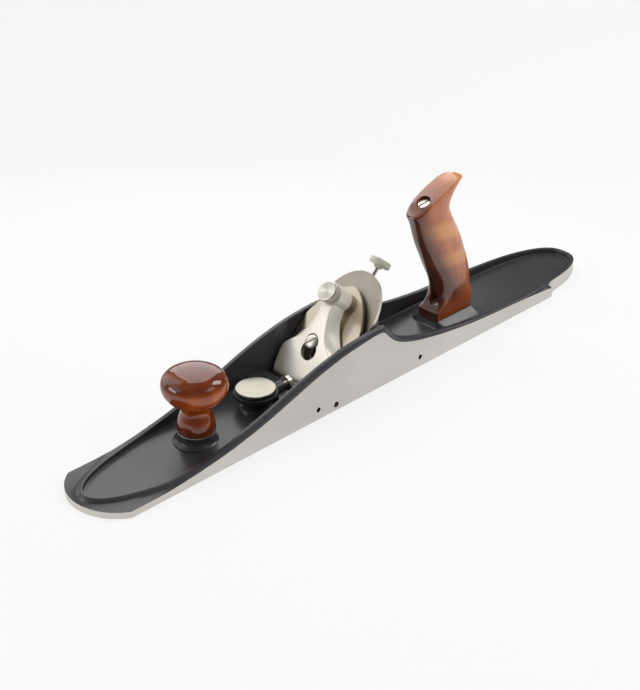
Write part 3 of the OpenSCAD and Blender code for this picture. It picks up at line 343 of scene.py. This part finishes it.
def handle_wood():
    """As the knob, paler, with broad soft bands across the grip and an orange tip."""
    material, tree, shader = new_material("handle_wood")
    colour, pores = wood_base(tree, (0, math.radians(-22), 0), 24, 0.85, (0.26, 0.060, 0.020),
                              (0.42, 0.135, 0.050), (0.54, 0.20, 0.078))
    x, y, z = split(tree, object_point(tree))
    along = maths(tree, "SUBTRACT", z, maths(tree, "MULTIPLY", x, 0.107))
    wander = maths(tree, "MULTIPLY", maths(tree, "SUBTRACT", noise(tree, place(tree), 30, 2), 0.5), 0.014)
    phase = maths(tree, "MULTIPLY", maths(tree, "SUBTRACT", maths(tree, "ADD", along, wander), 0.105),
                  2 * math.pi / 0.030)
    band = value_range(tree, maths(tree, "COSINE", phase), 0.0, 1.0, -0.5, 0.8)
    inside = maths(tree, "MULTIPLY", value_range(tree, z, 0, 1, 0.042, 0.056),
                   value_range(tree, z, 1, 0, 0.100, 0.112))
    band = maths(tree, "MULTIPLY", maths(tree, "MULTIPLY", band, inside), 0.5)
    colour = mix_colour(tree, band, colour, (0.70, 0.33, 0.12))
    tip = maths(tree, "MULTIPLY", value_range(tree, x, 1, 0, -0.127, -0.106),
                value_range(tree, z, 0, 0.7, 0.112, 0.124))
    colour = mix_colour(tree, tip, colour, (0.60, 0.23, 0.070))
    # Painted shade: the grip is painted darker towards the foot, low between the rims
    foot = value_range(tree, z, 0.75, 0.0, 0.012, 0.048)
    colour = mix_colour(tree, foot, colour, (0.22, 0.046, 0.010))
    # Painted shade: the faces that look forward are painted darker than the sides
    front = tree.nodes.new("ShaderNodeTexCoord").outputs["Normal"]
    facing = value_range(tree, split(tree, front)[0], 0.0, 0.9, 0.20, 0.62)
    # The painted shade also runs a little way round into the side, further at the bottom of the grip
    depth = maths(tree, "SUBTRACT", maths(tree, "ADD", maths(tree, "MULTIPLY", z, 0.43), -0.1173), x)
    depth = maths(tree, "SUBTRACT", depth, value_range(tree, z, 0.009, 0, 0.045, 0.085))
    shade_round_side = maths(tree, "MULTIPLY", value_range(tree, depth, 0.85, 0, 0.003, 0.021),
                       value_range(tree, z, 0, 1, 0.018, 0.034))
    facing = maths(tree, "MAXIMUM", facing, shade_round_side)
    colour = mix_colour(tree, facing, colour, (0.045, 0.012, 0.008))
    varnish(tree, shader, colour, pores, 0.42, 0.13)
    return material


SMOOTHING = {}


def smooth(node, angle=30.0):
    """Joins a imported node's split corners and shades it smooth below an edge angle."""
    group = SMOOTHING.get(angle)
    if group is None:
        group = bpy.data.node_groups.new(f"smooth_{angle:.0f}", "GeometryNodeTree")
        group.interface.new_socket("Geometry", in_out="INPUT", socket_type="NodeSocketGeometry")
        group.interface.new_socket("Geometry", in_out="OUTPUT", socket_type="NodeSocketGeometry")
        start = group.nodes.new("NodeGroupInput")
        end = group.nodes.new("NodeGroupOutput")
        strip = group.nodes.new("GeometryNodeRemoveAttribute")
        strip.inputs["Name"].default_value = "custom_normal"
        merge = group.nodes.new("GeometryNodeMergeByDistance")
        merge.inputs["Distance"].default_value = 2e-6
        faces = group.nodes.new("GeometryNodeSetShadeSmooth")
        faces.domain = "FACE"
        edges = group.nodes.new("GeometryNodeSetShadeSmooth")
        edges.domain = "EDGE"
        turn = group.nodes.new("GeometryNodeInputMeshEdgeAngle")
        limit = group.nodes.new("FunctionNodeCompare")
        limit.data_type = "FLOAT"
        limit.operation = "LESS_THAN"
        limit.inputs[1].default_value = math.radians(angle)
        links = group.links
        links.new(start.outputs[0], strip.inputs["Geometry"])
        links.new(strip.outputs[0], merge.inputs["Geometry"])
        links.new(merge.outputs[0], faces.inputs["Geometry"])
        links.new(faces.outputs[0], edges.inputs["Geometry"])
        links.new(turn.outputs["Unsigned Angle"], limit.inputs[0])
        links.new(limit.outputs["Result"], edges.inputs["Shade Smooth"])
        links.new(edges.outputs[0], end.inputs[0])
        SMOOTHING[angle] = group
    modifier = node.modifiers.new("smooth", "NODES")
    modifier.node_group = group


def dress(material, *names):
    for name in names:
        node = NODES[name]
        node.data.materials.clear()
        node.data.materials.append(material)


dress(body_material(), "plane_body")
dress(enamel_material("satin_enamel", ENAMEL_GLOSS), "frog")
dress(knob_wood(), "front_knob")
dress(handle_wood(), "rear_handle")
dress(metal("ground_iron", (0.56, 0.54, 0.52), (0.42, 0.40, 0.38), 0.42, (0.05, 1, 1)), "toe_plate")
dress(metal("blasted_metal", (0.88, 0.835, 0.74), (0.81, 0.765, 0.675), 0.40, grain_scale=1700,
            metallic=0.5), "lever_cap")
dress(metal("satin_steel", (0.84, 0.81, 0.735), (0.74, 0.71, 0.64), 0.24), "clamp_pad", "adjuster_spindle",
      "toe_stop_screw", "cap_iron_screw", "carriage_pin")
dress(metal("dull_screw", (0.30, 0.19, 0.14), (0.20, 0.12, 0.09), 0.5), "handle_toe_screw")
dress(metal("bright_ring", (0.95, 0.92, 0.86), (0.88, 0.85, 0.79), 0.55), "knob_ring")
BED = Vector((math.sqrt(0.5), 0, math.sqrt(0.5)))
UP_BED = Vector((-math.sqrt(0.5), 0, math.sqrt(0.5)))
EDGE = Vector((0.0595, 0, 0))
ROD = Vector((-0.0856 + 0.130, 0, 0.1232 - 0.012)).normalized()


def top_along(name, axis):
    """How far a node reaches along a direction from the origin."""
    return max(vertex.co.dot(axis) for vertex in NODES[name].data.vertices)


# Painted shade: the lock knob is painted black below its disc
dress(turned("turned_lock_knob", (0.37, 0.348, 0.290), (0.32, 0.30, 0.25), 0.24, (0.1028, 0, 0), (0, 0, 1),
             1.6, 0.35, 0.0249), "toe_lock_knob")
dress(turned("turned_clamp", (0.84, 0.80, 0.71), (0.72, 0.685, 0.60), 0.30, EDGE + UP_BED * 0.083, BED, 1.5,
             0.7), "clamp_screw")
dress(turned("turned_adjuster", (0.78, 0.765, 0.66), (0.66, 0.645, 0.55), 0.42,
             EDGE + UP_BED * 0.125 - BED * 0.0075, UP_BED, 1.5, 0.4, metallic=0.7), "adjuster_knob")
nut_axis_start = Vector((-0.130, 0, 0.012))
# Painted shade: the nut is painted black below its top face
dress(turned("turned_nut", (0.66, 0.63, 0.55), (0.58, 0.55, 0.48), 0.34, nut_axis_start, ROD, 1.0, 0.3,
             top_along("handle_nut", ROD) - nut_axis_start.dot(ROD) - 0.0003), "handle_nut")
cap_screw_top = top_along("lever_cap_screw", BED)
# Painted shade: the cap screw is painted black below the top of its head
dress(turned("turned_cap_screw", (0.84, 0.80, 0.71), (0.74, 0.70, 0.62), 0.38, EDGE + UP_BED * 0.055, BED, 0.0,
             0.0, cap_screw_top - EDGE.dot(BED) - 0.0018), "lever_cap_screw")
# The edges of the blade and the cap iron carry a painted highlight
dress(painted_edge_highlight(metal("lapped_steel", (0.50, 0.455, 0.385), (0.42, 0.38, 0.32), 0.36, (1, 0.06, 1)), BED,
                   (0.80, 0.74, 0.62)), "blade")
dress(painted_edge_highlight(metal("polished_steel", (0.80, 0.73, 0.61), (0.70, 0.63, 0.50), 0.24, (1, 0.06, 1)), BED,
                   (0.88, 0.82, 0.70)), "cap_iron")
dress(metal("plain_steel", (0.60, 0.59, 0.57), (0.44, 0.43, 0.42), 0.38), "toe_lock_washer", "knob_stud",
      "handle_rod", "frog_washers")
dress(metal("black_oxide", (0.08, 0.08, 0.08), (0.04, 0.04, 0.04), 0.45), "frog_bolts", "left_set_screw",
      "right_set_screw")
dress(metal("brass", (0.80, 0.62, 0.30), (0.62, 0.46, 0.20), 0.32), "knob_insert", "adjuster_pivot",
      "spindle_collars", "adjuster_carriage")
for node in NODES.values():
    smooth(node)
    weighted = node.modifiers.new("flat_faces", "WEIGHTED_NORMAL")
    weighted.keep_sharp = True


# Mound under the handle: [reach past the foot, height over the tray], millimetres
FOOT = (-138.0, -94.3, 10.9)
TRAY = 6.0
MOUND = [(10.9, -0.5), (10.8, 0.02), (10.1, 0.10), (9.2, 0.35), (8.2, 0.80), (7.0, 1.45), (5.6, 2.3), (4.2, 3.2),
         (2.8, 4.1), (1.8, 4.8), (1.1, 5.35), (0.6, 5.75), (0.1, 5.9)]
MOUND_POINTS = 72


def handle_mound():
    """The enamelled slope that carries the handle, from the foot's edge down to the tray."""
    vertices, faces = [], []
    for reach, height in MOUND:
        for k in range(MOUND_POINTS):
            turn = 2 * math.pi * (k + 0.5) / MOUND_POINTS
            corner = 1.2 + reach
            ahead = math.cos(turn) > 0
            x = (FOOT[1] - 1.2 - 0.75 * reach) if ahead else (FOOT[0] + 1.2 + 0.2 * reach)
            y = (FOOT[2] - 1.2) * (1 if math.sin(turn) > 0 else -1)
            vertices.append(((x + corner * math.cos(turn)) / 1000, (y + corner * math.sin(turn)) / 1000,
                             (TRAY + height) / 1000))
    for ring in range(len(MOUND) - 1):
        for k in range(MOUND_POINTS):
            a, b = ring * MOUND_POINTS + k, ring * MOUND_POINTS + (k + 1) % MOUND_POINTS
            faces.append((a, b, b + MOUND_POINTS, a + MOUND_POINTS))
    faces.append(tuple(reversed(range(MOUND_POINTS))))
    faces.append(tuple(range((len(MOUND) - 1) * MOUND_POINTS, len(MOUND) * MOUND_POINTS)))
    mesh = bpy.data.meshes.new("handle_mound")
    mesh.from_pydata(vertices, [], faces)
    for face in mesh.polygons:
        face.use_smooth = len(face.vertices) == 4
    mound = bpy.data.objects.new("handle_mound", mesh)
    bpy.context.scene.collection.objects.link(mound)
    mound.data.materials.append(enamel_material("mound_enamel", 1.0))
    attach(mound, "plane")


handle_mound()

WHITE = 0.94


def pale_rays(tree):
    """1 for rays that show the background: the camera's own, mirrored and refracted ones."""
    path = tree.nodes.new("ShaderNodeLightPath")
    return maths(tree, "MAXIMUM", path.outputs["Is Camera Ray"],
                 maths(tree, "MAXIMUM", path.outputs["Is Glossy Ray"], path.outputs["Is Transmission Ray"]))


def studio_floor():
    mesh = bpy.data.meshes.new("studio_floor")
    reach = 6.0
    mesh.from_pydata([(-reach, -reach, 0), (reach, -reach, 0), (reach, reach, 0), (-reach, reach, 0)],
                     [], [(0, 1, 2, 3)])
    floor = bpy.data.objects.new("studio_floor", mesh)
    floor.location.z = -0.0002
    bpy.context.scene.collection.objects.link(floor)
    material, tree, shader = new_material("studio_floor")
    shader.inputs["Base Color"].default_value = (0.93, 0.925, 0.915, 1)
    shader.inputs["Roughness"].default_value = 0.9
    shader.inputs["Specular IOR Level"].default_value = 0.0
    glow = add(tree, "ShaderNodeEmission", Color=(WHITE, WHITE, WHITE, 1))
    # Mirrored rays see the floor's glow dimmer further out to the side: a painted falloff of the light that polished
    # surfaces mirror
    aside = maths(tree, "ABSOLUTE", split(tree, object_point(tree))[1])
    mirrored = value_range(tree, aside, 1.0, 0.3, 0.12, 0.45)
    path = tree.nodes.new("ShaderNodeLightPath")
    tree.links.new(maths(tree, "MAXIMUM", path.outputs["Is Camera Ray"], mirrored), glow.inputs["Strength"])
    choose = tree.nodes.new("ShaderNodeMixShader")
    tree.links.new(maths(tree, "MULTIPLY", pale_rays(tree), 0.85), choose.inputs[0])
    tree.links.new(shader.outputs[0], choose.inputs[1])
    tree.links.new(glow.outputs[0], choose.inputs[2])
    output = next(node for node in tree.nodes if node.bl_idname == "ShaderNodeOutputMaterial")
    tree.links.new(choose.outputs[0], output.inputs["Surface"])
    mesh.materials.append(material)


def window(tree, source, low, high, soft):
    """1 between two values, with soft ends."""
    rise = value_range(tree, source, 0, 1, low - soft, low + soft)
    fall = value_range(tree, source, 1, 0, high - soft, high + soft)
    return maths(tree, "MULTIPLY", rise, fall)


def studio_world():
    """A dim room with pale walls behind the object; the camera's own rays see plain white."""
    world = bpy.data.worlds.new("studio")
    bpy.context.scene.world = world
    world.use_nodes = True
    tree = world.node_tree
    tree.nodes.clear()
    output = tree.nodes.new("ShaderNodeOutputWorld")
    x, y, z = split(tree, tree.nodes.new("ShaderNodeTexCoord").outputs["Generated"])
    azimuth = maths(tree, "MULTIPLY", maths(tree, "ARCTAN2", y, x), 180 / math.pi)
    elevation = maths(tree, "MULTIPLY", maths(tree, "ARCSINE", z), 180 / math.pi)
    back = window(tree, azimuth, -175, -95, 12)
    left = window(tree, azimuth, -66, -10, 10)
    wall = maths(tree, "MULTIPLY", window(tree, azimuth, -104, -68, 6), window(tree, elevation, -4, 60, 5))
    high = window(tree, elevation, 33, 50, 5)
    room = mix_value(tree, left, mix_value(tree, back, 0.12, 0.22), mix_value(tree, high, 0.35, 0.95))
    room = mix_value(tree, wall, room, 1.3)
    near = maths(tree, "MULTIPLY", window(tree, azimuth, 102, 130, 9), window(tree, elevation, 33, 50, 6))
    room = mix_value(tree, near, room, 1.9)
    around = add(tree, "ShaderNodeBackground", Color=(1, 1, 1, 1))
    tree.links.new(room, around.inputs["Strength"])
    seen = add(tree, "ShaderNodeBackground", Color=(WHITE, WHITE, WHITE, 1), Strength=1.0)
    choose = tree.nodes.new("ShaderNodeMixShader")
    path = tree.nodes.new("ShaderNodeLightPath")
    tree.links.new(path.outputs["Is Camera Ray"], choose.inputs[0])
    tree.links.new(around.outputs[0], choose.inputs[1])
    tree.links.new(seen.outputs[0], choose.inputs[2])
    tree.links.new(choose.outputs[0], output.inputs["Surface"])


def softbox(name, azimuth, elevation, distance, size, radiance, mirrored=True):
    """A lamp in a direction given in degrees; an unmirrored one leaves no highlight."""
    data = bpy.data.lights.new(name, "AREA")
    data.shape = "RECTANGLE"
    data.size, data.size_y = size
    data.energy = math.pi * size[0] * size[1] * radiance
    turn, lift = math.radians(azimuth), math.radians(elevation)
    away = Vector((math.cos(lift) * math.cos(turn), math.cos(lift) * math.sin(turn), math.sin(lift)))
    made = bpy.data.objects.new(name, data)
    made.location = away * distance
    made.rotation_euler = away.to_track_quat("Z", "Y").to_euler()
    made.visible_glossy = mirrored
    bpy.context.scene.collection.objects.link(made)


def panel(name, azimuth, distance, across, heights, radiance):
    """An upright lit panel that faces the object, between two places across and two heights."""
    turn = math.radians(azimuth)
    away = Vector((math.cos(turn), math.sin(turn), 0))
    sideways = Vector((-math.sin(turn), math.cos(turn), 0))
    size = (across[1] - across[0], heights[1] - heights[0])
    data = bpy.data.lights.new(name, "AREA")
    data.shape = "RECTANGLE"
    data.size, data.size_y = size
    data.energy = math.pi * size[0] * size[1] * radiance
    made = bpy.data.objects.new(name, data)
    made.location = away * distance + sideways * (sum(across) / 2) + Vector((0, 0, sum(heights) / 2))
    made.rotation_euler = away.to_track_quat("Z", "Y").to_euler()
    made.visible_camera = False
    bpy.context.scene.collection.objects.link(made)


def studio():
    studio_floor()
    studio_world()
    panel("back_panel", 225, 0.42, (-0.12, 0.36), (0.14, 1.35), 1.95)
    softbox("left_window", 328, 24, 1.8, (0.90, 0.40), 4.1)
    softbox("right_window", 162, 44, 1.8, (0.55, 0.9), 5.0)
    softbox("overhead", 230, 82, 2.2, (2.2, 2.2), 1.5, False)
    softbox("right_fill", 100, 30, 2.0, (1.8, 1.0), 2.5, False)


def camera():
    azimuth = math.radians(CAMERA_AZIMUTH)
    elevation = math.radians(CAMERA_ELEVATION)
    out = Vector((math.cos(elevation) * math.sin(azimuth), math.cos(elevation) * math.cos(azimuth),
                  math.sin(elevation)))
    data = bpy.data.cameras.new("camera")
    data.sensor_fit = "HORIZONTAL"
    data.sensor_width = SENSOR
    data.lens = CAMERA_FOCAL_PIXELS * SENSOR / IMAGE_WIDTH
    made = bpy.data.objects.new("camera", data)
    made.location = CAMERA_TARGET + out * CAMERA_DISTANCE
    facing = (-out).to_track_quat("-Z", "Y")
    made.rotation_mode = "QUATERNION"
    made.rotation_quaternion = facing @ Quaternion(Vector((0, 0, 1)), math.radians(CAMERA_ROLL))
    bpy.context.scene.collection.objects.link(made)
    bpy.context.scene.camera = made


studio()
camera()
bpy.context.scene.view_settings.view_transform = "Standard"
